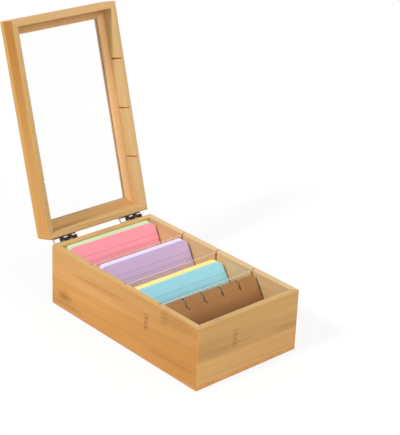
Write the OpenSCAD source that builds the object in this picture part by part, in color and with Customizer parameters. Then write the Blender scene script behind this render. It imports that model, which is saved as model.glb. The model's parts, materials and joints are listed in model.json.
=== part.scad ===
// Recipe card box: a bamboo base with a hinged window lid, three clear dividers,
// six stacks of coloured cards and five tabbed index cards.
// X runs along the hinge line, Y from front to rear, Z up.
// The origin lies under the middle of the base, on its underside.

/* [Box] */
// Thickness of the base's walls and of the lid's rails
wall_t = 8; // [7:0.5:12]
// Height of the base's walls above the bottom board
wall_h = 70; // [66:1:100]
// Thickness of the bottom board
bottom_t = 8; // [6:0.5:12]
// Rounding of the bottom board's lower edge
bottom_edge_r = 6; // [2:0.5:8]
// Rounding of the upright corners
corner_r = 2; // [1:0.1:4]
// Rounding of the rims' outer edges
rim_r = 1.6; // [0.5:0.1:2.5]
// Rounding of the rims' inner edges
inner_rim_r = 0.8; // [0.4:0.1:1.5]
// Free floor in front of the cards that reach furthest forward
floor_room = 2.4; // [1:0.1:20]
// Number of compartments
compartments = 4; // [4:1:4]

/* [Dividers] */
// Thickness of a divider plate
divider_t = 2; // [1.5:0.1:3]
// Clearance between a plate's face and the side of its groove
divider_fit = 0.2; // [0.1:0.05:0.4]
// Depth of the grooves in the side walls and in the lid's side rails
groove_depth = 4; // [2:0.5:5]
// Clearance between a plate's end and the bottom of its groove
divider_end_gap = 0.3; // [0.1:0.1:0.8]
// How far the plates' top edges lie below the rim
divider_drop = 1.5; // [0:0.5:6]
// Rounding of the plates' top corners
divider_corner_r = 1; // [0.5:0.5:3]

/* [Lid] */
// Height of the lid's rails
rail_h = 16.5; // [15.5:0.5:30]
// Thickness of the window frame that lies on the rails
frame_t = 8; // [6:0.5:12]
// Width of the frame's strips
frame_w = 18; // [14:0.5:30]
// Rounding of the frame's top edge at the front and the sides
frame_edge_r = 2; // [1:0.5:4]
// Rounding of the frame's top edge at the rear, over the hinges
frame_rear_r = 5.5; // [2:0.5:6]
// Rounding of the window's edges
window_edge_r = 0.8; // [0.4:0.1:1.4]
// Thickness of the clear pane
pane_t = 2; // [1:0.1:2.5]
// Depth of the groove that holds the pane in the frame
pane_groove = 4; // [2:0.5:6]
// Clearance of the pane in its groove, on every side
pane_fit = 0.1; // [0.05:0.05:0.3]
// Gap between the two rims when the lid is shut
lid_gap = 0.25; // [0.2:0.05:0.6]
// Angle by which the open lid is turned back
lid_open = 105.8; // [95:0.2:110]

/* [Hinges] */
// Distance from the rear face to the hinge pin's axis
axis_back = 3.6; // [3.2:0.1:5]
// Length of a hinge's barrel
barrel_l = 23.3; // [18:0.1:28]
// Diameter of the barrel
barrel_d = 3.6; // [3.2:0.1:4.6]
// Number of knuckles in a barrel
knuckles = 4; // [4:2:6]
// Gap between two knuckles
knuckle_gap = 0.15; // [0.1:0.05:0.3]
// Diameter of the hinge pin
pin_d = 1.6; // [1.2:0.1:2]
// Clearance round the hinge pin
pin_fit = 0.05; // [0.03:0.01:0.1]
// Thickness of a hinge leaf
leaf_t = 1; // [0.8:0.1:1.2]
// Height of a hinge leaf
leaf_h = 14; // [11:0.5:14]
// Rounding of a leaf's corners
leaf_corner_r = 1.5; // [1:0.5:3]
// Distance from the barrel's left end to the middle of the stop ear
ear_reach = 9.2; // [6:0.1:10]
// Width of the stop ear
ear_w = 1.6; // [1.2:0.1:3]
// Thickness of the stop ear
ear_t = 1; // [0.8:0.1:1.6]
// Slope of the stop ear above level
ear_slope = 51; // [45:1:60]
// Gap between the stop ear and the open lid's leaf
stop_gap = 0.15; // [0.1:0.05:0.3]
// Distance from the box's left side to the left barrel
left_inset = 15.6; // [13:0.1:18]
// Distance from the right barrel to the box's right side
right_inset = 12.3; // [10:0.1:16]

/* [Screws] */
// Diameter of a screw's shank
screw_d = 2.4; // [2:0.1:3]
// Diameter of a screw's head
head_d = 4.4; // [4:0.1:5]
// Height of a screw's head
head_h = 0.9; // [0.7:0.1:1]
// Length of a screw
screw_l = 7; // [5:0.5:7.5]
// Length of a screw's point
point_l = 2; // [1:0.5:3]
// Clearance round a screw and past its point
screw_fit = 0.05; // [0.03:0.01:0.1]
// Distance from a leaf's end to its nearer screw
screw_inset = 6.5; // [5:0.5:8]

/* [Cards] */
// Width of a card
card_w = 127; // [105:1:150]
// Height of a card
card_h = 76.2; // [66:0.1:86]
// Rounding of a card's corners
card_corner_r = 6.5; // [2:0.5:10]
// Clearance between a card's edge and the side wall
card_side_gap = 3.5; // [1:0.5:8]
// Distance by which the coloured stacks stand to the right of the middle
stack_shift = 1.2; // [0:0.1:1.6]
// Thickness of one sheaf of cards
sheaf_t = 0.95; // [0.6:0.05:1]
// Clearance between two sheaves
sheaf_gap = 0.08; // [0.05:0.01:0.1]
// Clearance between a leaning card's top edge and what it leans on
lean_gap = 0.3; // [0.2:0.1:1]
// Lean of the green and the pink cards, from upright
rear_lean_angle = 27.8; // [20:0.1:35]
// Lean of the white and the purple cards
third_lean_angle = 29.3; // [20:0.1:35]
// Lean of the yellow and the blue cards
second_lean_angle = 35.5; // [20:0.1:36]
// Number of green sheaves
green_sheaves = 7; // [2:1:7]
// Number of white sheaves
white_sheaves = 6; // [2:1:7]
// Number of yellow sheaves
yellow_sheaves = 6; // [2:1:6]
// Number of sheaves in each stack that stands in front of another
front_sheaves = 3; // [1:1:3]

/* [Index cards] */
// Height of an index card with its tab
index_h = 81; // [76:0.5:84]
// Height of a tab
tab_h = 10.5; // [6:0.5:14]
// Rounding of a tab's corners
tab_corner_r = 1.5; // [1:0.5:4]
// Gap between neighbouring tabs, seen from the front
tab_gap = 0.3; // [0.2:0.1:2]
// Number of index cards, each with its tab one place further to the right
index_cards = 5; // [5:1:5]
// Thickness of an index card
index_t = 0.7; // [0.5:0.1:1]
// Clearance between two index cards
index_gap = 0.4; // [0.2:0.1:0.6]
// Lean of the index cards, from upright
index_lean_angle = 33; // [25:0.1:35]

/* [Hidden] */
$fn = 64;

divider_w = card_w + 2 * (card_side_gap + groove_depth - divider_end_gap);
groove_w = divider_t + 2 * divider_fit;
tab_w = card_w / index_cards;
index_step = index_t + index_gap;
sheaf_step = sheaf_t + sheaf_gap;

// Floor taken up by a stack, from what it leans on to its foremost card's lower edge
function stack_depth(angle, height, thick) = lean_gap + height * sin(angle) + thick / cos(angle);
function sheaves_depth(angle, count) = stack_depth(angle, card_h, count * sheaf_step - sheaf_gap);

// Distance from one divider to the next: every compartment has room for the deepest stack
pitch = floor_room + divider_t + max([
    sheaves_depth(rear_lean_angle, green_sheaves + front_sheaves),
    sheaves_depth(third_lean_angle, white_sheaves + front_sheaves),
    sheaves_depth(second_lean_angle, yellow_sheaves + front_sheaves),
    stack_depth(index_lean_angle, index_h, index_cards * index_step - index_gap)
]);

inner_w = card_w + 2 * card_side_gap;
stack_x = min(stack_shift, card_side_gap / 2);
inner_d = compartments * pitch;
box_w = inner_w + 2 * wall_t;
box_d = inner_d + 2 * wall_t;
base_h = bottom_t + wall_h;
rail_z = base_h + lid_gap;
frame_z = rail_z + rail_h;
over = 1;

axis_y = box_d / 2 + axis_back;
axis_z = base_h + lid_gap / 2;
barrel_r = barrel_d / 2;
left_barrel_x = -box_w / 2 + left_inset;
right_barrel_x = box_w / 2 - right_inset - barrel_l;
leaf_left = -ear_reach - ear_w / 2;
leaf_w = barrel_l - leaf_left;
knuckle_l = barrel_l / knuckles;

bamboo = [0.86, 0.70, 0.47];
bamboo_dark = [0.80, 0.62, 0.38];
bronze = [0.26, 0.17, 0.10];
clear = [0.80, 0.88, 0.90, 0.35];
green = [0.82, 0.91, 0.73];
pink = [0.99, 0.63, 0.67];
white = [0.90, 0.87, 0.96];
purple = [0.80, 0.70, 0.85];
yellow = [0.98, 0.89, 0.58];
blue = [0.59, 0.84, 0.92];
kraft = [0.69, 0.50, 0.33];

// Where the dividers stand, counted from the front
function divider_y(place) = -inner_d / 2 + place * pitch;

// An upright block with rounded corners, as large as the box in plan
module box_prism(height) {
    cube_w = box_w - 2 * corner_r;
    cube_d = box_d - 2 * corner_r;
    translate([-cube_w / 2, -box_d / 2, 0]) cube([cube_w, box_d, height]);
    translate([-box_w / 2, -cube_d / 2, 0]) cube([box_w, cube_d, height]);
    for (x = [-cube_w / 2, cube_w / 2], y = [-cube_d / 2, cube_d / 2])
        translate([x, y, 0]) cylinder(r = corner_r, h = height);
}

// A rectangle with its two upper corners rounded
module topped_profile(width, height, left_r, right_r) {
    low = height - max(left_r, right_r);
    square([width, low]);
    translate([0, low - over]) square([width / 2, over + height - low - left_r]);
    translate([width / 2, low - over]) square([width / 2, over + height - low - right_r]);
    translate([left_r, low - over]) square([width - left_r - right_r, over + height - low]);
    translate([left_r, height - left_r]) circle(left_r);
    translate([width - right_r, height - right_r]) circle(right_r);
}

// A profile drawn across the front wall, run along X for the whole width of the box
module run_along_x(length) {
    rotate([90, 0, 90]) linear_extrude(length, center = true) children();
}

// The plan of one side of a frame with mitred corners, side 0 front, 1 right, 2 rear, 3 left
module mitred_side(side, strip_w, height) {
    turned = side % 2 == 1;
    half_l = (turned ? box_d : box_w) / 2;
    half_d = (turned ? box_w : box_d) / 2;
    rotate([0, 0, side * 90]) linear_extrude(height) polygon([
        [-half_l, -half_d], [half_l, -half_d],
        [half_l - strip_w, -half_d + strip_w], [-half_l + strip_w, -half_d + strip_w]
    ]);
}

// One side of a frame: a profile run along the side and mitred at both ends
module framed_side(side, strip_w, height) {
    turned = side % 2 == 1;
    half_d = (turned ? box_w : box_d) / 2;
    intersection() {
        mitred_side(side, strip_w, height);
        rotate([0, 0, side * 90]) translate([0, -half_d, 0])
            run_along_x(turned ? box_d : box_w) children();
        box_prism(height);
    }
}

// The upright grooves that the divider plates slide in
module divider_grooves(height) {
    for (place = [1 : compartments - 1])
        translate([-inner_w / 2 - groove_depth, divider_y(place) - groove_w / 2, -over])
            cube([inner_w + 2 * groove_depth, groove_w, height + 2 * over]);
}

// The four screw places of the two hinges, as X positions
function screw_places() = [
    for (barrel_x = [left_barrel_x, right_barrel_x], end = [leaf_left + screw_inset, barrel_l - screw_inset])
        barrel_x + end
];

// Height of the screws above the hinge axis: the base's lie as far below as the lid's above
screw_rise = barrel_r - leaf_t + leaf_h / 2;

// One countersunk screw driven towards the front, its head's face at the origin
module screw(fit) {
    rotate([90, 0, 0]) {
        cylinder(r1 = head_d / 2 + fit, r2 = screw_d / 2 + fit, h = head_h);
        cylinder(r = screw_d / 2 + fit, h = screw_l - point_l + fit);
        translate([0, 0, screw_l - point_l + fit])
            cylinder(r1 = screw_d / 2 + fit, r2 = 0.2 + fit, h = point_l);
    }
}

// The row of screws through the leaves, up or down from the hinge axis
module screw_row(rise, fit) {
    for (x = screw_places())
        translate([x, box_d / 2 + leaf_t, axis_z + rise]) screw(fit);
}

// Base

module base_bottom() {
    edge_r = min(bottom_edge_r, bottom_t - 0.5);
    color(bamboo_dark) intersection() {
        translate([0, 0, bottom_t]) rotate([180, 0, 0]) translate([0, -box_d / 2, 0])
            run_along_x(box_w) topped_profile(box_d, bottom_t, edge_r, edge_r);
        translate([0, 0, bottom_t]) rotate([0, 180, 90]) translate([0, -box_w / 2, 0])
            run_along_x(box_d) topped_profile(box_w, bottom_t, edge_r, edge_r);
        box_prism(bottom_t);
    }
}

module base_wall(side) {
    translate([0, 0, bottom_t]) framed_side(side, wall_t, wall_h)
        topped_profile(wall_t, wall_h, rim_r, inner_rim_r);
}

module base_front_wall() {
    color(bamboo) base_wall(0);
}

module base_rear_wall() {
    color(bamboo) difference() {
        base_wall(2);
        screw_row(-screw_rise, screw_fit);
    }
}

module base_left_wall() {
    color(bamboo) difference() {
        base_wall(3);
        translate([0, 0, bottom_t]) divider_grooves(wall_h);
    }
}

module base_right_wall() {
    color(bamboo) difference() {
        base_wall(1);
        translate([0, 0, bottom_t]) divider_grooves(wall_h);
    }
}

// Lid, drawn shut and then turned back about the hinge axis

module opened() {
    translate([0, axis_y, axis_z]) rotate([-lid_open, 0, 0])
        translate([0, -axis_y, -axis_z]) children();
}

module lid_rail(side) {
    translate([0, 0, frame_z]) mirror([0, 0, 1]) framed_side(side, wall_t, rail_h)
        topped_profile(wall_t, rail_h, rim_r, inner_rim_r);
}

module lid_front_rail() {
    color(bamboo) opened() lid_rail(0);
}

module lid_rear_rail() {
    color(bamboo) opened() difference() {
        lid_rail(2);
        screw_row(screw_rise, screw_fit);
    }
}

module lid_left_rail() {
    color(bamboo) opened() difference() {
        lid_rail(3);
        translate([0, 0, rail_z]) divider_grooves(rail_h);
    }
}

module lid_right_rail() {
    color(bamboo) opened() difference() {
        lid_rail(1);
        translate([0, 0, rail_z]) divider_grooves(rail_h);
    }
}

// The window frame's outer form: flat, with a wide round at the rear and a small one elsewhere
module frame_form() {
    intersection() {
        translate([0, -box_d / 2, 0]) run_along_x(box_w)
            topped_profile(box_d, frame_t, frame_edge_r, min(frame_rear_r, frame_t - 0.5));
        rotate([0, 0, 90]) translate([0, -box_w / 2, 0]) run_along_x(box_d)
            topped_profile(box_w, frame_t, frame_edge_r, frame_edge_r);
    }
}

// A strip's section: outer edge on the left, window edge and pane groove on the right
module strip_profile() {
    groove_h = pane_t + 2 * pane_fit;
    difference() {
        union() {
            square([frame_w / 2, frame_t]);
            translate([0, window_edge_r]) square([frame_w, frame_t - 2 * window_edge_r]);
            square([frame_w - window_edge_r, frame_t]);
            for (z = [window_edge_r, frame_t - window_edge_r])
                translate([frame_w - window_edge_r, z]) circle(window_edge_r);
        }
        translate([frame_w - pane_groove, (frame_t - groove_h) / 2])
            square([pane_groove + over, groove_h]);
    }
}

module window_strip(side) {
    color(bamboo) opened() translate([0, 0, frame_z]) intersection() {
        framed_side(side, frame_w, frame_t) strip_profile();
        frame_form();
    }
}

module window_front_strip() {
    window_strip(0);
}

module window_rear_strip() {
    window_strip(2);
}

module window_left_strip() {
    window_strip(3);
}

module window_right_strip() {
    window_strip(1);
}

module window_pane() {
    edge = frame_w - pane_groove + pane_fit;
    pane_w = box_w - 2 * edge;
    pane_d = box_d - 2 * edge;
    color(clear) opened() translate([-pane_w / 2, -pane_d / 2, frame_z + (frame_t - pane_t) / 2])
        cube([pane_w, pane_d, pane_t]);
}

// Hinges, each drawn shut with its barrel's left end at X = 0 and the axis on Y = 0, Z = 0

// A leaf's plate against the rear face, standing up from the axis
module leaf_plate() {
    low = barrel_r - leaf_t;
    r = leaf_corner_r;
    translate([leaf_left, -axis_back, low]) cube([leaf_w, leaf_t, leaf_h - r]);
    translate([leaf_left + r, -axis_back, low]) cube([leaf_w - 2 * r, leaf_t, leaf_h]);
    for (x = [leaf_left + r, leaf_left + leaf_w - r])
        translate([x, -axis_back, low + leaf_h - r]) rotate([-90, 0, 0]) cylinder(r = r, h = leaf_t);
}

// The flanges and rolled knuckles of one leaf, every second one from the given place
module knuckle_row(first) {
    for (place = [first : 2 : knuckles - 1]) {
        x = place * knuckle_l + knuckle_gap / 2;
        length = knuckle_l - knuckle_gap;
        translate([x, 0, 0]) rotate([0, 90, 0]) cylinder(r = barrel_r, h = length);
        translate([x, -axis_back, barrel_r - leaf_t]) cube([length, axis_back, leaf_t]);
    }
}

module pin_bore() {
    translate([-over, 0, 0]) rotate([0, 90, 0])
        cylinder(r = pin_d / 2 + pin_fit, h = barrel_l + 2 * over);
}

// The ear bent up and back out of the base's leaf, which the open lid's leaf comes to rest on
module stop_ear() {
    reach = 2 * axis_back + leaf_h;
    intersection() {
        translate([-ear_reach - ear_w / 2, 0, 0]) rotate([ear_slope, 0, 0])
            translate([0, -reach, -ear_t / 2]) cube([ear_w, 2 * reach, ear_t]);
        translate([-ear_reach - ear_w, -axis_back, -reach])
            cube([2 * ear_w, 2 * reach, 2 * reach]);
        rotate([-lid_open, 0, 0]) translate([-ear_reach - ear_w, -axis_back + leaf_t + stop_gap, -reach])
            cube([2 * ear_w, 2 * reach, 2 * reach]);
    }
}

module hinge_base_leaf(barrel_x) {
    color(bronze) difference() {
        translate([barrel_x, axis_y, axis_z]) difference() {
            union() {
                mirror([0, 0, 1]) leaf_plate();
                mirror([0, 0, 1]) knuckle_row(1);
                stop_ear();
            }
            pin_bore();
        }
        screw_row(-screw_rise, screw_fit);
    }
}

module hinge_lid_leaf(barrel_x) {
    color(bronze) opened() difference() {
        translate([barrel_x, axis_y, axis_z]) difference() {
            union() {
                leaf_plate();
                knuckle_row(0);
            }
            pin_bore();
        }
        screw_row(screw_rise, screw_fit);
    }
}

module hinge_pin(barrel_x) {
    color(bronze) translate([barrel_x, axis_y, axis_z]) rotate([0, 90, 0])
        cylinder(r = pin_d / 2, h = barrel_l);
}

module left_hinge_base_leaf() {
    hinge_base_leaf(left_barrel_x);
}

module left_hinge_lid_leaf() {
    hinge_lid_leaf(left_barrel_x);
}

module left_hinge_pin() {
    hinge_pin(left_barrel_x);
}

module right_hinge_base_leaf() {
    hinge_base_leaf(right_barrel_x);
}

module right_hinge_lid_leaf() {
    hinge_lid_leaf(right_barrel_x);
}

module right_hinge_pin() {
    hinge_pin(right_barrel_x);
}

module base_leaf_screws() {
    color(bronze) screw_row(-screw_rise, 0);
}

module lid_leaf_screws() {
    color(bronze) opened() screw_row(screw_rise, 0);
}

// Dividers: clear plates that stand on the bottom board and slide up in their grooves

module divider(place) {
    height = wall_h - divider_drop;
    r = divider_corner_r;
    color(clear) translate([0, divider_y(place) + divider_t / 2, bottom_t])
        rotate([90, 0, 0]) linear_extrude(divider_t)
            translate([-divider_w / 2, 0]) topped_profile(divider_w, height, r, r);
}

module rear_divider() {
    divider(3);
}

module middle_divider() {
    divider(2);
}

module front_divider() {
    divider(1);
}

// Cards: each leans back with its lower rear edge on the bottom board

// A rectangle with four rounded corners, its lower edge on Y = 0 and its middle on X = 0
module card_outline(width, height, r) {
    translate([-width / 2, r]) square([width, height - 2 * r]);
    translate([r - width / 2, 0]) square([width - 2 * r, height]);
    for (x = [r - width / 2, width / 2 - r], y = [r, height - r])
        translate([x, y]) circle(r);
}

// Stands a flat outline up and leans it back, after the cards that are already there
module leaning(x, back_y, lean, height, thick, ahead) {
    translate([x, back_y - lean_gap - height * sin(lean) - ahead / cos(lean), bottom_t])
        rotate([90 - lean, 0, 0]) linear_extrude(thick) children();
}

// A stack of sheaves that starts some sheaves ahead of what it leans on
module card_stack(back_y, lean, first, count) {
    for (place = [first : first + count - 1])
        leaning(stack_x, back_y, lean, card_h, sheaf_t, place * sheaf_step)
            card_outline(card_w, card_h, card_corner_r);
}

// The face that the cards of a compartment lean on, compartments counted from the front
function lean_face(place) =
    place == compartments ? inner_d / 2 : divider_y(place) - divider_t / 2;

module green_cards() {
    color(green) card_stack(lean_face(4), rear_lean_angle, 0, green_sheaves);
}

module pink_cards() {
    color(pink) card_stack(lean_face(4), rear_lean_angle, green_sheaves, front_sheaves);
}

module white_cards() {
    color(white) card_stack(lean_face(3), third_lean_angle, 0, white_sheaves);
}

module purple_cards() {
    color(purple) card_stack(lean_face(3), third_lean_angle, white_sheaves, front_sheaves);
}

module yellow_cards() {
    color(yellow) card_stack(lean_face(2), second_lean_angle, 0, yellow_sheaves);
}

module blue_cards() {
    color(blue) card_stack(lean_face(2), second_lean_angle, yellow_sheaves, front_sheaves);
}

// An index card with its tab in one of five places, counted from the left
module index_card(place) {
    tab_x = -card_w / 2 + (place - 0.5) * tab_w;
    body_h = index_h - tab_h;
    color(kraft) leaning(0, lean_face(1), index_lean_angle, index_h, index_t, (place - 1) * index_step) {
        card_outline(card_w, body_h, tab_corner_r);
        translate([tab_x, body_h / 2]) card_outline(tab_w - tab_gap, index_h - body_h / 2, tab_corner_r);
    }
}

module index_card_1() {
    index_card(1);
}

module index_card_2() {
    index_card(2);
}

module index_card_3() {
    index_card(3);
}

module index_card_4() {
    index_card(4);
}

module index_card_5() {
    index_card(5);
}

base_bottom();
base_front_wall();
base_rear_wall();
base_left_wall();
base_right_wall();
lid_front_rail();
lid_rear_rail();
lid_left_rail();
lid_right_rail();
window_front_strip();
window_rear_strip();
window_left_strip();
window_right_strip();
window_pane();
left_hinge_base_leaf();
left_hinge_lid_leaf();
left_hinge_pin();
right_hinge_base_leaf();
right_hinge_lid_leaf();
right_hinge_pin();
base_leaf_screws();
lid_leaf_screws();
rear_divider();
middle_divider();
front_divider();
green_cards();
pink_cards();
white_cards();
purple_cards();
yellow_cards();
blue_cards();
index_card_1();
index_card_2();
index_card_3();
index_card_4();
index_card_5();
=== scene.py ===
import json
import math

import bmesh
import bpy
from mathutils import Matrix, Vector


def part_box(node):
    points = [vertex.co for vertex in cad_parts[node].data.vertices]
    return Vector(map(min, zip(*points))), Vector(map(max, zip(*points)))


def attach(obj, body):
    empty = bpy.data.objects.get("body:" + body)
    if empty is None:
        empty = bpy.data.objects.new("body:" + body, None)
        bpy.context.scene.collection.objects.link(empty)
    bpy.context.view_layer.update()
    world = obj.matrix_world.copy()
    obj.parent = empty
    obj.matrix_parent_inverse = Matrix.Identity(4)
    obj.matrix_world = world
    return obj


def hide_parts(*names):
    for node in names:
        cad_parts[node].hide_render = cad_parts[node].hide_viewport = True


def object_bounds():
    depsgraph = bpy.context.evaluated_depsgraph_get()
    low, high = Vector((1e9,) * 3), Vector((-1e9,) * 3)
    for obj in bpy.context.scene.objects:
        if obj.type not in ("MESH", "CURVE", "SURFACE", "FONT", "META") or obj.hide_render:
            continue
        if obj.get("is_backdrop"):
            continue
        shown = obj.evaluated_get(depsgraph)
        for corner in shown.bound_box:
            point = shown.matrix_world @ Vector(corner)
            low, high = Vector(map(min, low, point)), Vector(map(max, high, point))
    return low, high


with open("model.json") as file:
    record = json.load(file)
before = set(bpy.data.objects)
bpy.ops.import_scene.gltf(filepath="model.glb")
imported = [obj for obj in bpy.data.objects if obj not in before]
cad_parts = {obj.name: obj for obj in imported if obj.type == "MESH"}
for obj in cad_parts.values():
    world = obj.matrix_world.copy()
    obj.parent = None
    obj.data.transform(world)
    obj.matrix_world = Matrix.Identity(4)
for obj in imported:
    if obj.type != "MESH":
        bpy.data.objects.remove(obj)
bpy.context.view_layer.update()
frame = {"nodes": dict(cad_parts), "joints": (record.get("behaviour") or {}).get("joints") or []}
nodes = frame["nodes"]

# Camera
# It stands in front of the box's left front corner and looks down on it, turned a little
# about its own line of sight.
azimuth = math.radians(-42.793)
elevation = math.radians(24.275)
roll = math.radians(2.457)
camera_at = (-0.94723, -1.06542, 0.78339)
focal_pixels, picture_pixels, sensor_mm = 1401.1, 435, 36
back = Vector((math.sin(azimuth) * math.cos(elevation),
               -math.cos(azimuth) * math.cos(elevation),
               math.sin(elevation)))
right = Vector((0, 0, 1)).cross(back).normalized()
up = back.cross(right)
turned_right = right * math.cos(roll) + up * math.sin(roll)
turned_up = up * math.cos(roll) - right * math.sin(roll)
camera_data = bpy.data.cameras.new("camera")
camera_data.lens = sensor_mm * focal_pixels / picture_pixels
camera = bpy.data.objects.new("camera", camera_data)
bpy.context.collection.objects.link(camera)
camera.matrix_world = Matrix.Translation(camera_at) @ Matrix(
    (turned_right, turned_up, back)).transposed().to_4x4()
bpy.context.scene.camera = camera
bpy.context.scene.view_settings.view_transform = "Standard"


# Floor and light
# A pale studio floor under the box, an even white surround, a lamp from above the left side and
# a broad soft one from the front. To the camera and in gloss the surround is plain white.


def paint(red, green, blue, strength=1):
    """A colour as a paint chart gives it, 0 to 255, turned into light"""
    return tuple(((c / 255 + 0.055) / 1.055) ** 2.4 * strength for c in (red, green, blue)) + (1,)


class Amount:
    """A number that varies over a surface, and takes part in sums and products"""

    def __init__(self, finish, socket):
        self.finish = finish
        self.socket = socket

    def math(self, operation, *others, clamp=False):
        settings = {"operation": operation, "use_clamp": clamp}
        return self.finish.node("ShaderNodeMath", settings, dict(enumerate((self,) + others)))

    def __add__(self, other):
        return self.math("ADD", other)

    def __sub__(self, other):
        return self.math("SUBTRACT", other)

    def __rsub__(self, other):
        return self.finish.node("ShaderNodeMath", {"operation": "SUBTRACT"}, {0: other, 1: self})

    def __mul__(self, other):
        return self.math("MULTIPLY", other)

    def __truediv__(self, other):
        return self.math("DIVIDE", other)

    __radd__ = __add__
    __rmul__ = __mul__

    def size(self):
        return self.math("ABSOLUTE")

    def fade(self, full, none):
        """1 up to full, then down to 0 at none"""
        settings = {"interpolation_type": "SMOOTHSTEP"}
        values = {"Value": self, "From Min": none, "From Max": full, "To Min": 0, "To Max": 1}
        if full < none:
            values = {"Value": self, "From Min": full, "From Max": none, "To Min": 1, "To Max": 0}
        return self.finish.node("ShaderNodeMapRange", settings, values)


class Finish:
    """A material or surround whose nodes are made one after another"""

    def __init__(self, name, kind=bpy.data.materials):
        self.material = kind.new(name)
        self.material.use_nodes = True
        self.tree = self.material.node_tree
        self.tree.nodes.clear()

    def node(self, kind, settings=None, values=None, out=0):
        made = self.tree.nodes.new(kind)
        for name, setting in (settings or {}).items():
            if name == "stops":
                ramp = made.color_ramp
                while len(ramp.elements) < len(setting):
                    ramp.elements.new(1)
                for element, (place, colour) in zip(ramp.elements, setting):
                    element.position = place
                    element.color = colour
            elif name == "interpolation":
                made.color_ramp.interpolation = setting
            else:
                setattr(made, name, setting)
        for name, value in (values or {}).items():
            if isinstance(value, Amount):
                self.tree.links.new(value.socket, made.inputs[name])
            else:
                made.inputs[name].default_value = value
        return Amount(self, made.outputs[out]) if made.outputs else None

    def place(self):
        """Object coordinates"""
        return self.node("ShaderNodeTexCoord", out="Object")

    def parts(self, vector):
        """The three coordinates of a vector"""
        first = self.node("ShaderNodeSeparateXYZ", values={0: vector})
        outputs = first.socket.node.outputs
        return [Amount(self, outputs[axis]) for axis in range(3)]

    def noise(self, x, y, z, detail=2, shift=0, roughness=0.5):
        """Soft noise round 0, between about -0.5 and 0.5"""
        at = self.node("ShaderNodeCombineXYZ", values={0: x + shift, 1: y, 2: z})
        found = self.node("ShaderNodeTexNoise", values={
            "Vector": at, "Scale": 1, "Detail": detail, "Roughness": roughness})
        return found - 0.5

    def mix(self, factor, first, second, blend="MIX"):
        """Two colours mixed"""
        return self.node("ShaderNodeMix", {"data_type": "RGBA", "blend_type": blend},
                         {0: factor, 6: first, 7: second}, out=2)

    def bump(self, height, strength, distance):
        return self.node("ShaderNodeBump", values={
            "Strength": strength, "Distance": distance, "Height": height})

    def principled(self, **values):
        """The surface's shader; words in socket names are joined by an underscore"""
        return self.node("ShaderNodeBsdfPrincipled", values={
            name.replace("_", " "): value for name, value in values.items()})

    def output(self, shader):
        self.node("ShaderNodeOutputMaterial", values={"Surface": shader})
        return self.material

    def seen(self):
        """1 for rays from the camera, in gloss and through clear plastic"""
        rays = self.node("ShaderNodeLightPath", out="Is Camera Ray")
        outputs = rays.socket.node.outputs
        gloss = Amount(self, outputs["Is Glossy Ray"])
        through = Amount(self, outputs["Is Transmission Ray"])
        return (rays + gloss).math("ADD", through, clamp=True)


sky = Finish("surround", bpy.data.worlds)
bpy.context.scene.world = sky.material
sky_strength = 0.36
white_strength = sky.seen() * (1 - sky_strength) + sky_strength
sky.node("ShaderNodeOutputWorld", values={"Surface": sky.node(
    "ShaderNodeBackground", values={"Color": (1, 1, 1, 1), "Strength": white_strength})})

floor_finish = Finish("floor")
floor_white = floor_finish.node("ShaderNodeEmission", values={
    "Color": (1, 1, 1, 1), "Strength": 1})
floor_matt = floor_finish.principled(Base_Color=paint(244, 243, 240), Roughness=0.9)
# What is left of the matt floor shows the box's shadow
whitened = 0.88
floor_material = floor_finish.output(floor_finish.node("ShaderNodeMixShader", values={
    0: floor_finish.seen() * whitened, 1: floor_matt, 2: floor_white}))
floor_half = 6
floor_mesh = bpy.data.meshes.new("floor")
floor_mesh.from_pydata([(-floor_half, -floor_half, 0), (floor_half, -floor_half, 0),
                        (floor_half, floor_half, 0), (-floor_half, floor_half, 0)],
                       [], [(0, 1, 2, 3)])
floor = bpy.data.objects.new("floor", floor_mesh)
floor_mesh.materials.append(floor_material)
bpy.context.collection.objects.link(floor)
floor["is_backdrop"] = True

for name, strength, spread, toward in (("left_lamp", 2.2, 7, (-0.72, 0.05, 0.69)),
                                       ("front_lamp", 1.42, 40, (0.04, -0.80, 0.58))):
    lamp_data = bpy.data.lights.new(name, "SUN")
    lamp_data.energy = strength
    lamp_data.angle = math.radians(spread)
    lamp = bpy.data.objects.new(name, lamp_data)
    bpy.context.collection.objects.link(lamp)
    lamp.matrix_world = Vector(toward).to_track_quat("Z", "Y").to_matrix().to_4x4()


# Base
# A box of five bamboo boards under clear satin lacquer. Each board is glued up from strips of
# bamboo, with faint marks where the canes' nodes were, and has yellowed on the outside.

mm_in_metre = 1000
lid_hinge = next(joint for joint in frame["joints"] if joint["name"] == "lid_hinge")
lid_turn = math.radians(lid_hinge["range_deg"][1])
hinge_at = Vector(lid_hinge["pos_m"])
shutting = Matrix.Rotation(lid_turn, 3, "X")


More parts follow.
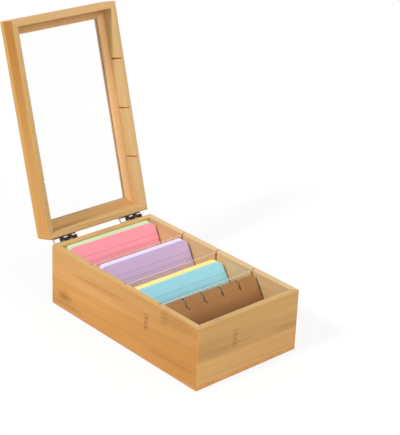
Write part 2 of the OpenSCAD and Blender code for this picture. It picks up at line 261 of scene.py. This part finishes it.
def bamboo(name, along, across, outside, strips, period, marks=(), patches=(), stain=None,
           slant=0, seed=0, turn=(0, 0, 0), inside=(1.12, 1.30, 1.42), cut=(1, 1, 1)):
    """Bamboo whose fibres run along one axis, with sizes in millimetres. A strip is given by its
    lower edge and colour, a node mark by its place along, its lower and upper end and its
    strength, a patch by its middle, its half length and half width and its strength. The outside
    is an axis and a sign; stain is where it begins and is full along the fibres, and its colour.
    Inside and cut tint the faces that aren't the outside, and those across the fibres."""
    finish = Finish(name)
    placed = finish.node("ShaderNodeMapping", {"vector_type": "POINT"}, {
        "Vector": finish.place(), "Rotation": turn,
        "Location": hinge_at - shutting @ hinge_at if any(turn) else (0, 0, 0)})
    axes = [axis * mm_in_metre for axis in finish.parts(placed)]
    facing = finish.parts(finish.node("ShaderNodeMapping", {"vector_type": "POINT"}, {
        "Vector": finish.node("ShaderNodeTexCoord", out="Normal"), "Rotation": turn}))
    thick = ({0, 1, 2} - {along, across}).pop()
    u, w = axes[along], axes[thick]
    v = axes[across] + u * slant

    low, high = strips[0][0], strips[-1][0] + period
    stops = [((edge - low) / (high - low), paint(*colour)) for edge, colour in strips]
    board = finish.node("ShaderNodeValToRGB", {"interpolation": "CONSTANT", "stops": stops},
                        {0: (v - low) / (high - low)})

    bands = finish.noise(u * 0.006, v * 0.055, w * 0.055, shift=seed, detail=1)
    streaks = finish.noise(u * 0.008, v * 0.24, w * 0.24, shift=seed + 3)
    fibres = finish.noise(u * 0.03, v * 1.1, w * 1.1, shift=seed + 5)
    tone = bands * 0.95 + streaks * 0.7 + fibres * 0.45
    shade = (0.5 - tone).math("ADD", 0, clamp=True)
    colour = finish.mix(1, board, finish.mix(shade, (1.14, 1.17, 1.22, 1), (0.86, 0.82, 0.76, 1)),
                        blend="MULTIPLY")

    # A node mark is two broken lines with rungs between them, in a faint wide shade
    mark_half, rung_pitch = 2, 5.6
    wobble = finish.noise(u * 0.05, v * 0.3, w * 0.1, shift=seed + 9) * 6
    broken = (finish.noise(u * 0.2, v * 0.5, w * 0.3, shift=seed + 7) * 2.6 + 0.6).math(
        "ADD", 0, clamp=True)
    rungs = ((v / rung_pitch).math("FRACT") - 0.5).size().fade(0.1, 0.3)
    dark = 0
    for place, start, end, strength in marks:
        off = (u - place + wobble).size()
        ends = (v - (start + end) / 2).size().fade((end - start) / 2 - 3, (end - start) / 2 + 1)
        dark = dark + (off.fade(0.5, 5) * 0.16 + off.fade(1.4, 2.4) * rungs * 0.45
                       + (off - mark_half).size().fade(0.1, 1) * broken * 0.6) * ends * strength
    for middle, height, long, wide, strength in patches:
        off = ((u - middle) / long).math("POWER", 2) + ((v - height) / wide).math("POWER", 2)
        dark = dark + (off + bands * 1.6 + streaks * 2.2 + fibres).fade(0, 1.1) * strength
    seam = ((v / period - low / period).math("FRACT") - 0.5).size()
    seam_half = 0.5 / period
    dark = dark + seam.fade(0.5, 0.5 - seam_half) * 0.28
    colour = finish.mix(dark, colour, (0.55, 0.44, 0.34, 1), blend="MULTIPLY")
    axis, sign = outside
    within = (facing[axis] * -sign + 1).fade(0.7, 0.3)
    if stain:
        start, full, stained = stain
        stained_here = u.fade(full, start) * (1 - within)
        colour = finish.mix(stained_here, colour, stained + (1,), blend="MULTIPLY")
    colour = finish.mix(within, colour, inside + (1,), blend="MULTIPLY")
    colour = finish.mix(facing[along].size().fade(0.9, 0.6), colour, cut + (1,), blend="MULTIPLY")
    return finish.output(finish.principled(
        Base_Color=colour,
        Roughness=0.44 + fibres * 0.16,
        Specular_IOR_Level=0.35,
        Normal=finish.bump(fibres - dark, 0.08, 0.0003)))


def dress(node, material):
    """Gives a CAD node its material"""
    mesh = nodes[node].data
    mesh.materials.clear()
    mesh.materials.append(material)
    for face in mesh.polygons:
        face.material_index = 0


dress("base_left_wall", bamboo("left_wall_bamboo", 1, 2, (0, -1), [
    (-18.4, (193, 135, 61)), (2.6, (193, 135, 60)), (23.6, (197, 139, 64)),
    (44.6, (200, 145, 77)), (65.6, (198, 146, 80))], 21, slant=0.05, seed=0,
    marks=[(-44, 37, 60, 1.2), (-70.5, 54, 72, 0.6), (-76, 57, 75, 0.6)],
    patches=[(102, 30, 17, 10, 0.5), (106, 27, 10, 5, 0.35), (100, 15, 36, 9, 0.3),
             (-85, 18, 70, 4, 0.38), (40, 60, 60, 4, 0.3), (-96, 66, 34, 8, 0.2),
             (62, 29, 3, 1.6, 0.4)],
    stain=(60, -128, (0.90, 0.86, 0.76)), inside=(1.06, 1.31, 1.85)))
dress("base_front_wall", bamboo("front_wall_bamboo", 0, 2, (1, -1), [
    (-7.6, (196, 150, 87)), (13.4, (196, 150, 87)), (34.4, (186, 141, 79)),
    (55.4, (190, 146, 84)), (76.4, (190, 146, 84))], 21, slant=0.036, seed=11,
    inside=(1.09, 1.24, 1.58), marks=[(-21, 37, 60, 0.9)],
    patches=[(60, 40, 40, 6, 0.45), (-40, 42, 50, 4, 0.2)]))
dress("base_right_wall", bamboo("right_wall_bamboo", 1, 2, (0, 1), [
    (-4, (198, 151, 97)), (17.5, (200, 153, 100)), (39, (202, 155, 100)),
    (60.5, (200, 153, 97))], 21.5, slant=-0.02, seed=23, inside=(1.2, 1.48, 1.95)))
dress("base_rear_wall", bamboo("rear_wall_bamboo", 0, 2, (1, 1), [
    (-8, (200, 152, 92)), (13.5, (203, 155, 96)), (35, (198, 150, 90)),
    (56.5, (202, 154, 96))], 21.5, slant=0.015, seed=31, marks=[(40, 13, 35, 0.7)]))
dress("base_bottom", bamboo("bottom_bamboo", 1, 0, (2, -1), [
    (-76, (202, 146, 76)), (-50.5, (206, 152, 84)), (-25, (202, 148, 80)),
    (0.5, (206, 152, 84)), (26, (202, 148, 80)), (51.5, (204, 150, 82))],
    25.5, seed=43, inside=(0.92, 0.86, 0.8)))


# Lid
# Four mitred rails carry four mitred window strips, all of bamboo. The pattern is laid on them
# as they lie with the lid shut. The left ones have browned on the outside toward the free end.

strip_w = 18
half_w, half_d = 75, 128.5
rail_low, rail_band = 76, 20
browned = (60, -128, (0.80, 0.66, 0.2))

for place, (side, along, outside, edge, colour, stain, rail_inside, strip_inside_and_painted_light) in enumerate([
        ("front", 0, (1, -1), half_d, (198, 147, 93), None,
         (1.12, 1.30, 1.42), (1.06, 1.16, 1.22)),
        # The right strip's inside is made much paler as painted light, lifting the shadow the
        # left rail casts on it
        ("right", 1, (0, 1), half_w, (195, 151, 98), None,
         (1.12, 1.30, 1.42), (1.34, 1.47, 1.75)),
        ("rear", 0, (1, 1), half_d, (196, 149, 94), None,
         (1.12, 1.30, 1.42), (1.06, 1.16, 1.22)),
        ("left", 1, (0, -1), half_w, (197, 142, 69), browned,
         (0.99, 1.31, 2.45), (1.06, 1.16, 1.22))]):
    dress(f"lid_{side}_rail", bamboo(
        f"{side}_rail_bamboo", along, 2, outside,
        [(rail_low, colour), (rail_low + rail_band, colour)], rail_band,
        seed=51 + 4 * place, stain=stain, turn=(lid_turn, 0, 0), cut=(1.6, 1.7, 1.8),
        inside=rail_inside))
    # Each strip's band begins 1 mm outside it, so no seam shows on it
    low = (-edge if outside[1] < 0 else edge - strip_w) - 1
    band = strip_w + 1
    dress(f"window_{side}_strip", bamboo(
        f"{side}_strip_bamboo", along, 1 - along, (2, 1), [(low, colour), (low + band, colour)],
        band, seed=71 + 4 * place, stain=stain, turn=(lid_turn, 0, 0), inside=strip_inside_and_painted_light))


# Window pane
# A sheet of clear acrylic in the groove round the window. Nothing shows of it but a faint
# gloss.

pane_finish = Finish("clear_pane")
px, py, pz = pane_finish.parts(pane_finish.place())
pane_haze = pane_finish.noise(px * 30, py * 30, pz * 30) * 0.02
dress("window_pane", pane_finish.output(pane_finish.principled(
    Base_Color=paint(246, 250, 250), Roughness=0.05 + pane_haze, Alpha=0.04 + pane_haze)))


# Divider plates
# Three plates of clear acrylic with sawn and polished edges. Their upward faces carry a painted
# highlight, pale and less clear, which draws them as thin pale lines. They stand loose in the
# grooves of the walls.

plate_finish = Finish("clear_plate")
facing = plate_finish.parts(plate_finish.node("ShaderNodeTexCoord", out="Normal"))[2]
# Painted highlight: faces that look up are pale and less clear
plate_top_painted_highlight = facing.fade(0.8, 0.3)
qx, qy, qz = plate_finish.parts(plate_finish.place())
plate_haze = plate_finish.noise(qx * 25, qy * 25, qz * 25) * 0.03
plate_colour = plate_finish.mix(plate_top_painted_highlight, paint(232, 192, 122), paint(232, 216, 198))
plate_material = plate_finish.output(plate_finish.principled(
    Base_Color=plate_colour, Roughness=0.12 + plate_haze,
    Alpha=0.16 + plate_haze + plate_top_painted_highlight * 0.24))
for place in ("rear", "middle", "front"):
    dress(f"{place}_divider", plate_material)


# Hinges
# Two small steel butt hinges in antique bronze, with rolled knuckles and a stop ear at the left
# end of each. The high spots are rubbed lighter, and the ears most.

bronze_finish = Finish("hinge_bronze")
hx, hy, hz = bronze_finish.parts(bronze_finish.place())
wear = bronze_finish.noise(hx * 420, hy * 420, hz * 420, detail=4, roughness=0.6)
rubbed = bronze_finish.noise(hx * 120, hy * 120, hz * 120, detail=2)
worn = (wear * 0.5 + rubbed * 0.7 + 0.3).math("ADD", 0, clamp=True)
bronze_colour = bronze_finish.mix(worn, paint(34, 20, 13), paint(80, 56, 38))
ears, ear_half = 0, 0.0008
for side in ("left", "right"):
    ear_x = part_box(f"{side}_hinge_base_leaf")[0].x + ear_half
    ears = ears + (hx - ear_x).size().fade(ear_half, ear_half + 0.0002)
bronze_colour = bronze_finish.mix(ears, bronze_colour, paint(172, 160, 144))
bronze_material = bronze_finish.output(bronze_finish.principled(
    Base_Color=bronze_colour, Metallic=0.4, Roughness=0.5 - rubbed * 0.3,
    Normal=bronze_finish.bump(wear, 0.2, 0.0002)))
for side in ("left", "right"):
    for part in ("base_leaf", "lid_leaf", "pin"):
        dress(f"{side}_hinge_{part}", bronze_material)


# Screws
# Four countersunk cross-head screws hold each pair of leaves, turned home with their crosses
# at any angle. Heads and shanks are steel in the hinges' bronze.

screw_head_r = 0.0022
screws_each, screw_seed = 4, 3


def drawn(name, make):
    """A mesh object from a function that fills a bmesh"""
    form = bmesh.new()
    make(form)
    mesh = bpy.data.meshes.new(name)
    form.to_mesh(mesh)
    form.free()
    made = bpy.data.objects.new(name, mesh)
    bpy.context.collection.objects.link(made)
    return made


def screw_form(form):
    """A screw on the Z axis, its face at Z = 0 and its point down, with a cross recess"""
    shank_r, core_r, tip_r = 0.0012, 0.00095, 0.0002
    head_h, thread_from, thread_to, end = 0.0009, 0.0014, 0.0050, 0.0070
    turns, rounds = 5, 24
    section = [(0.0, 0.0), (screw_head_r * 0.93, 0.0), (screw_head_r, 0.0001), (shank_r, head_h),
               (shank_r, thread_from)]
    for turn in range(turns):
        start = thread_from + (thread_to - thread_from) * turn / turns
        step = (thread_to - thread_from) / turns
        section += [(core_r, start + step * 0.25), (core_r, start + step * 0.6),
                    (shank_r, start + step * 0.9)]
    section += [(shank_r * 0.9, thread_to + 0.0002), (tip_r, end - 0.0001), (0.0, end)]
    rings = []
    for radius, depth in section:
        angles = [2 * math.pi * step / rounds for step in range(rounds if radius else 1)]
        rings.append([form.verts.new((radius * math.cos(angle), radius * math.sin(angle), -depth))
                      for angle in angles])
    for upper, lower in zip(rings, rings[1:]):
        for step in range(rounds):
            following = (step + 1) % rounds
            corners = [upper[step % len(upper)], lower[step % len(lower)],
                       lower[following % len(lower)], upper[following % len(upper)]]
            form.faces.new(list(dict.fromkeys(corners)))
    bmesh.ops.recalc_face_normals(form, faces=form.faces)


def cross_form(form):
    """The cutter of the cross recess, two tapered blades"""
    blade_w, blade_t, above, deep = 0.0026, 0.00055, 0.0002, 0.0009
    for turned in (0, math.pi / 2):
        made = bmesh.ops.create_cube(form, size=1)["verts"]
        for vert in made:
            taper = 0.35 if vert.co.z < 0 else 1
            vert.co = Vector((vert.co.x * blade_w * taper, vert.co.y * blade_t * taper,
                              above if vert.co.z > 0 else -deep))
        bmesh.ops.rotate(form, verts=made, matrix=Matrix.Rotation(turned, 3, "Z"))


class Tree:
    """A Geometry Nodes tree, with its inputs named"""

    def __init__(self, name):
        self.tree = bpy.data.node_groups.new(name, "GeometryNodeTree")
        self.sockets = {}
        self.input("Geometry", "NodeSocketGeometry")
        self.tree.interface.new_socket("Geometry", in_out="OUTPUT",
                                       socket_type="NodeSocketGeometry")
        self.inputs = self.tree.nodes.new("NodeGroupInput")
        self.result = self.tree.nodes.new("NodeGroupOutput")

    def input(self, name, kind):
        made = self.tree.interface.new_socket(name, in_out="INPUT", socket_type=kind)
        self.sockets[name] = made.identifier

    def node(self, kind, settings=None, values=None):
        """A node with its settings, values and links; a link is a (node, output) pair"""
        made = self.tree.nodes.new(kind)
        for name, setting in (settings or {}).items():
            setattr(made, name, setting)
        for name, value in (values or {}).items():
            if isinstance(value, tuple) and isinstance(value[0], bpy.types.Node):
                self.tree.links.new(value[0].outputs[value[1]], made.inputs[name])
            else:
                made.inputs[name].default_value = value
        return made

    def finish(self, geometry, material):
        """Ends the tree; the material is one, or a (node, output) pair"""
        realized = self.node("GeometryNodeRealizeInstances", values={"Geometry": (geometry, 0)})
        painted = self.node("GeometryNodeSetMaterial", values={
            "Geometry": (realized, 0), "Material": material})
        self.tree.links.new(painted.outputs[0], self.result.inputs[0])

    def grow(self, base, name, **values):
        """Runs the tree on an object and keeps the result as a plain mesh"""
        modifier = base.modifiers.new("grow", "NODES")
        modifier.node_group = self.tree
        for key, value in values.items():
            modifier[self.sockets[key.replace("_", " ")]] = value
        bpy.context.view_layer.update()
        seen = base.evaluated_get(bpy.context.evaluated_depsgraph_get())
        mesh = bpy.data.meshes.new_from_object(seen)
        mesh.name = name
        base.modifiers.clear()
        made = bpy.data.objects.new(name, mesh)
        bpy.context.collection.objects.link(made)
        return made


screw_tree = Tree("screw_places")
for name, kind in (("Count", "NodeSocketInt"), ("First", "NodeSocketVector"),
                   ("Spread", "NodeSocketVector"), ("Pair Step", "NodeSocketFloat"),
                   ("Lean", "NodeSocketFloat"), ("Seed", "NodeSocketInt")):
    screw_tree.input(name, kind)
screw_line = screw_tree.node("GeometryNodeMeshLine", {"mode": "OFFSET"}, {
    "Count": (screw_tree.inputs, "Count"), "Start Location": (screw_tree.inputs, "First"),
    "Offset": (screw_tree.inputs, "Spread")})
screw_index = screw_tree.node("GeometryNodeInputIndex")
# Screws 2 and 3 belong to the right hinge, so they are moved over by what is between the two
second_pair = screw_tree.node("ShaderNodeMath", {"operation": "GREATER_THAN"},
                              {0: (screw_index, 0), 1: 1.5})
pair_shift = screw_tree.node("ShaderNodeMath", {"operation": "MULTIPLY"}, {
    0: (second_pair, 0), 1: (screw_tree.inputs, "Pair Step")})
pair_offset = screw_tree.node("ShaderNodeCombineXYZ", values={0: (pair_shift, 0)})
screw_points = screw_tree.node("GeometryNodeSetPosition", values={
    "Geometry": (screw_line, 0), "Offset": (pair_offset, 0)})
screw_angle = screw_tree.node("FunctionNodeRandomValue", {"data_type": "FLOAT"}, {
    2: 0.0, 3: math.pi / 2, "Seed": (screw_tree.inputs, "Seed")})
screw_spin = screw_tree.node("ShaderNodeCombineXYZ", values={2: (screw_angle, 1)})
screw_lean = screw_tree.node("ShaderNodeCombineXYZ", values={0: (screw_tree.inputs, "Lean")})
screw_copies = screw_tree.node("GeometryNodeInstanceOnPoints", values={
    "Points": (screw_points, 0), "Instance": (screw_tree.inputs, "Geometry")})
screw_turned = screw_tree.node("GeometryNodeRotateInstances", values={
    "Instances": (screw_copies, 0), "Rotation": (screw_lean, 0)})
screw_turned = screw_tree.node("GeometryNodeRotateInstances", values={
    "Instances": (screw_turned, 0), "Rotation": (screw_spin, 0)})

screw_finish = Finish("screw_bronze")
sx, sy, sz = screw_finish.parts(screw_finish.place())
scratched = screw_finish.noise(sx * 700, sy * 700, sz * 700, detail=4, roughness=0.6)
screw_colour = screw_finish.mix((scratched + 0.4).math("ADD", 0, clamp=True),
                                paint(58, 38, 24), paint(146, 112, 74))
screw_material = screw_finish.output(screw_finish.principled(
    Base_Color=screw_colour, Metallic=0.6, Roughness=0.45 - scratched * 0.3))
screw_tree.finish(screw_turned, screw_material)

screw = drawn("screw", screw_form)
cross = drawn("cross", cross_form)
cut = screw.modifiers.new("cut", "BOOLEAN")
cut.object = cross
cut.solver = "EXACT"
cut.use_self = True
bpy.context.view_layer.update()
cut_mesh = bpy.data.meshes.new_from_object(
    screw.evaluated_get(bpy.context.evaluated_depsgraph_get()))
screw.modifiers.clear()
screw.data = cut_mesh

left_low, left_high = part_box("left_hinge_base_leaf")
right_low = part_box("right_hinge_base_leaf")[0]
opening = Matrix.Rotation(-lid_turn, 3, "X")
for node, body in (("base_leaf_screws", "base"), ("lid_leaf_screws", "lid")):
    low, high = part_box(node)
    first_x = low.x + screw_head_r
    spacing = left_high.x - left_low.x - 2 * (first_x - left_low.x)
    pair_step = right_low.x - left_low.x - 2 * spacing
    face_out = math.radians(-90)
    first = Vector((first_x, high.y, (low.z + high.z) / 2))
    if body == "lid":
        # The lid's screws are found with the lid shut, and turned back with it
        shut = [shutting @ (vert.co - hinge_at) + hinge_at for vert in nodes[node].data.vertices]
        rear = max(point.y for point in shut)
        heights = [point.z for point in shut]
        middle = (min(heights) + max(heights)) / 2
        first = opening @ (Vector((first_x, rear, middle)) - hinge_at) + hinge_at
        face_out -= lid_turn
    made = screw_tree.grow(screw, node + "_dressed", Count=screws_each, First=first,
                           Spread=(spacing, 0, 0), Pair_Step=pair_step, Lean=face_out,
                           Seed=screw_seed)
    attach(made, body)
    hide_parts(node)
for leftover in (screw, cross):
    bpy.data.objects.remove(leftover)


# Coloured cards
# Six stacks of ruled 3 by 5 inch cards with rounded corners, a little out of line with each
# other at the ends, each leaning back on the divider or wall behind it.

card_w, card_h, card_r = 0.127, 0.0762, 0.0065
card_t, card_pitch = 0.00025, 0.00029
uv_size = 0.1


def card_form(form):
    """A card lying on its back: its width on X, its height on Y, its thickness up"""
    rounds = 6
    outline = []
    far_x, far_y = card_w / 2 - card_r, card_h - card_r
    for cx, cy, start in ((far_x, card_r, -90), (far_x, far_y, 0),
                          (-far_x, far_y, 90), (-far_x, card_r, 180)):
        for step in range(rounds + 1):
            angle = math.radians(start + 90 * step / rounds)
            outline.append((cx + card_r * math.cos(angle), cy + card_r * math.sin(angle)))
    lower = [form.verts.new((x, y, 0)) for x, y in outline]
    upper = [form.verts.new((x, y, card_t)) for x, y in outline]
    form.faces.new(list(reversed(lower)))
    form.faces.new(upper)
    for step, vert in enumerate(lower):
        following = (step + 1) % len(lower)
        form.faces.new((vert, lower[following], upper[following], upper[step]))
    sheet = form.loops.layers.uv.new("sheet")
    for face in form.faces:
        for loop in face.loops:
            loop[sheet].uv = (loop.vert.co.x / uv_size, loop.vert.co.y / uv_size)


def ruled_card(name, colour, line_colour):
    """Card stock in one colour, with ruled lines and a faint tooth"""
    finish = Finish(name)
    sheet = finish.parts(finish.node("ShaderNodeUVMap", {"uv_map": "sheet"}))
    x, y, z = finish.parts(finish.place())
    from_top = card_h - sheet[1] * uv_size
    pitch, first = 0.0071, 0.0132
    nearest = (((from_top - first) / pitch + 0.5).math("FRACT") - 0.5).size() * pitch
    ruled = nearest.fade(0.00012, 0.00045) * (from_top - first * 0.9).math("GREATER_THAN", 0)
    facing = finish.parts(finish.node("ShaderNodeTexCoord", out="Normal"))[1]
    front = (0 - facing).math("GREATER_THAN", 0.5)
    tooth = finish.noise(x * 900, y * 900, z * 900, detail=3)
    clouds = finish.noise(x * 12, y * 160, z * 160)
    shade = (0.5 + tooth * 0.35 + clouds * 0.5).math("ADD", 0, clamp=True)
    stock = finish.mix(shade, paint(*colour, strength=0.93), paint(*colour, strength=1.05))
    marked = finish.mix(ruled * front * 0.42, stock, paint(*line_colour))
    return finish.output(finish.principled(
        Base_Color=marked, Roughness=0.8 - tooth * 0.1, Normal=finish.bump(tooth, 0.1, 0.0001)))


card_tree = Tree("card_stack")
for name, kind in (("Count", "NodeSocketInt"), ("Foot", "NodeSocketVector"),
                   ("Step", "NodeSocketVector"), ("Rise", "NodeSocketFloat"),
                   ("Stray", "NodeSocketFloat"), ("Seed", "NodeSocketInt"),
                   ("Stock", "NodeSocketMaterial")):
    card_tree.input(name, kind)
card_line = card_tree.node("GeometryNodeMeshLine", {"mode": "OFFSET"}, {
    "Count": (card_tree.inputs, "Count"), "Start Location": (card_tree.inputs, "Foot"),
    "Offset": (card_tree.inputs, "Step")})
stray_low = card_tree.node("ShaderNodeMath", {"operation": "MULTIPLY"}, {
    0: (card_tree.inputs, "Stray"), 1: -1.0})
stray = card_tree.node("FunctionNodeRandomValue", {"data_type": "FLOAT"}, {
    2: (stray_low, 0), 3: (card_tree.inputs, "Stray"), "Seed": (card_tree.inputs, "Seed")})
stray_x = card_tree.node("ShaderNodeCombineXYZ", values={0: (stray, 1)})
card_points = card_tree.node("GeometryNodeSetPosition", values={
    "Geometry": (card_line, 0), "Offset": (stray_x, 0)})
card_copies = card_tree.node("GeometryNodeInstanceOnPoints", values={
    "Points": (card_points, 0), "Instance": (card_tree.inputs, "Geometry")})
card_rise = card_tree.node("ShaderNodeCombineXYZ", values={0: (card_tree.inputs, "Rise")})
cards_leaning = card_tree.node("GeometryNodeRotateInstances", values={
    "Instances": (card_copies, 0), "Rotation": (card_rise, 0)})
card_tree.finish(cards_leaning, (card_tree.inputs, "Stock"))

card = drawn("card", card_form)
floor_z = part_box("green_cards")[0].z
first_seed, end_stray = 5, 0.0005
for place, (colour, lean, stock, lines) in enumerate([
        ("green", 27.8, (211, 228, 188), (120, 150, 120)),
        ("pink", 27.8, (255, 160, 174), (170, 90, 100)),
        ("white", 29.3, (230, 224, 248), (150, 140, 190)),
        ("purple", 29.3, (203, 176, 211), (120, 90, 130)),
        ("yellow", 35.5, (252, 232, 150), (180, 160, 90)),
        ("blue", 35.5, (155, 216, 230), (110, 130, 110))]):
    low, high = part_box(f"{colour}_cards")
    # A stack's box is as deep as its lean and its thickness make it
    lean = math.radians(lean)
    leaned = card_h * math.sin(lean)
    thick = (high.y - low.y - leaned) * math.cos(lean)
    count = max(2, round((thick - card_t) / card_pitch) + 1)
    step = (thick - card_t) / (count - 1) / math.cos(lean)
    made = card_tree.grow(card, f"{colour}_stack", Count=count,
                          Foot=((low.x + high.x) / 2, high.y - leaned, floor_z),
                          Step=(0, -step, 0), Rise=math.pi / 2 - lean, Stray=end_stray,
                          Seed=first_seed + place,
                          Stock=ruled_card(f"{colour}_stock", stock, lines))
    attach(made, "base")
    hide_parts(f"{colour}_cards")
bpy.data.objects.remove(card)


# Index cards
# Five die-cut cards of brown kraft board, each with its tab one place further to the right. Short
# fibres show in the board. The slits between the tabs are drawn dark as a painted shadow, in a
# hook at the top, and painted shade darkens the board toward its foot.

kraft = Finish("kraft_board")
kx, ky, kz = [axis * mm_in_metre for axis in kraft.parts(kraft.place())]
fibre = kraft.noise(kx * 0.5, ky * 1.5, kz * 1.5, detail=3, roughness=0.7)
flecks = kraft.noise(kx * 0.26, ky * 0.9, kz * 0.9, detail=1)
blotch = kraft.noise(kx * 0.025, ky * 0.04, kz * 0.04, detail=2)
kraft_shade = (0.5 + fibre * 0.7 + blotch * 0.6).math("ADD", 0, clamp=True)
kraft_colour = kraft.mix(kraft_shade, paint(154, 106, 63), paint(183, 133, 84))
kraft_colour = kraft.mix(flecks.fade(0.3, 0.2) * 0.5, kraft_colour, paint(104, 68, 38))
# Painted shade: the board darkens toward its foot, deeper in the box
kraft_colour = kraft.mix(kz.fade(40, 74), kraft_colour, (0.62, 0.56, 0.50, 1), blend="MULTIPLY")
# Painted shadow: a dark line down each slit between two tabs, bending into a hook at the top
tab_w, tab_foot, tab_top, hook_h, tabs_half = 25.4, 67, 75.9, 3.5, 55
hook = (kz - (tab_top - hook_h)).math("MAXIMUM", 0)
from_slit = (((kx + hook * hook * 0.14) / tab_w).math("FRACT") - 0.5).size() * tab_w
slit_painted_shadow = (from_slit.fade(0.35, 0.85) * kz.fade(tab_foot, tab_foot - 1.5)
        * kx.size().fade(tabs_half, tabs_half + 1))
kraft_colour = kraft.mix(slit_painted_shadow * 0.95, kraft_colour, paint(48, 26, 14))
kraft_material = kraft.output(kraft.principled(
    Base_Color=kraft_colour, Roughness=0.85 + blotch * 0.1, Specular_IOR_Level=0.3,
    Normal=kraft.bump(fibre, 0.15, 0.0002)))
for place in range(1, 6):
    dress(f"index_card_{place}", kraft_material)


low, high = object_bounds()
